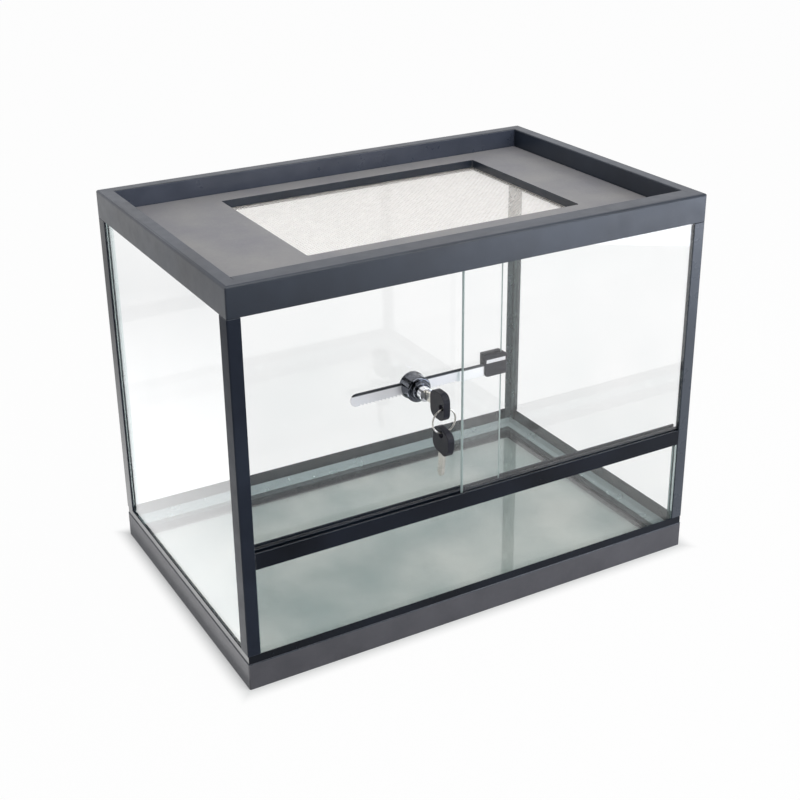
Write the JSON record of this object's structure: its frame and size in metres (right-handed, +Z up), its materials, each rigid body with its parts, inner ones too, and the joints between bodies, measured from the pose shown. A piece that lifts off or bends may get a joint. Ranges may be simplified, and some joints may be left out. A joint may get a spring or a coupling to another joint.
{
  "type": "glass terrarium",
  "caption": "Glass terrarium with a black moulded frame, a drop-in screen lid, two sliding glass doors and a keyed ratchet bar lock.",
  "frame": {"origin": "centre of the whole object's footprint, keys included, on the surface that it stands on", "axes": "+X along the tank's length, to the right for someone facing the doors; +Y from the doors to the back; +Z up"},
  "size_m": [0.4, 0.3046, 0.3116],
  "materials": {
    "black_abs": "satin moulded black with a faint blue sheen",
    "deck_abs": "fine textured black",
    "float_glass": "clear, polished faces, ground edges",
    "clear_silicone": "translucent, smooth",
    "mesh_metal": "bright woven wire",
    "chrome_plate": "bright plated",
    "nickel_steel": "nickel plated",
    "key_plastic": "moulded black"
  },
  "bodies": {
    "tank": {"bottom_frame": "black_abs", "top_frame": "black_abs", "door_sill": "black_abs", "front_left_post": "black_abs", "front_right_post": "black_abs", "back_left_post": "black_abs", "back_right_post": "black_abs", "left_pane": "float_glass", "right_pane": "float_glass", "back_pane": "float_glass", "front_lower_pane": "float_glass", "floor_pane": "float_glass", "floor_seam": "clear_silicone", "front_left_seam": "clear_silicone", "front_right_seam": "clear_silicone", "back_left_seam": "clear_silicone", "back_right_seam": "clear_silicone"},
    "lid": {"lid_deck": "deck_abs", "screen_mesh": "mesh_metal", "mesh_retainer": "deck_abs"},
    "left_door": {"left_door_pane": "float_glass", "lock_bar": "chrome_plate", "bar_clip": "key_plastic"},
    "right_door": {"right_door_pane": "float_glass"},
    "lock": {"lock_housing": "chrome_plate"},
    "pawl": {"lock_pawl": "nickel_steel"},
    "key": {"lock_plug": "chrome_plate", "key_blade": "nickel_steel", "key_head": "key_plastic"},
    "ring": {"key_ring": "nickel_steel"},
    "spare_key": {"spare_key_blade": "nickel_steel", "spare_key_head": "key_plastic"}
  },
  "joints": [
    {"name": "lid_lift", "type": "slide", "parent": "tank", "child": "lid", "axis": [0, 0, 1], "range_m": [0, 0.12]},
    {"name": "left_door_slide", "type": "slide", "parent": "tank", "child": "left_door", "axis": [1, 0, 0], "range_m": [0, 0.029]},
    {"name": "right_door_slide", "type": "slide", "parent": "tank", "child": "right_door", "axis": [-1, 0, 0], "range_m": [0, 0.029]},
    {"name": "lock_slide", "type": "slide", "parent": "left_door", "child": "lock", "axis": [-1, 0, 0], "range_m": [-0.029, 0.064]},
    {"name": "key_turn", "type": "hinge", "parent": "lock", "child": "key", "pos_m": [-0.0585, -0.1424, 0.2078], "axis": [0, 1, 0], "range_deg": [0, 90]},
    {"name": "pawl_lift", "type": "slide", "parent": "lock", "child": "pawl", "axis": [0, 0, 1], "range_m": [0, 0.00121]},
    {"name": "ring_swing", "type": "hinge", "parent": "key", "child": "ring", "pos_m": [-0.0585, -0.1424, 0.2078], "axis": [1, 0, 0], "range_deg": [-40, 15]},
    {"name": "spare_key_swing", "type": "hinge", "parent": "ring", "child": "spare_key", "pos_m": [-0.0585, -0.1424, 0.18715], "axis": [1, 0, 0], "range_deg": [-30, 10]}
  ],
  "couplings": [
    {"joint": "pawl_lift", "follows": "key_turn", "m_per_rad": 0.00076394}
  ]
}
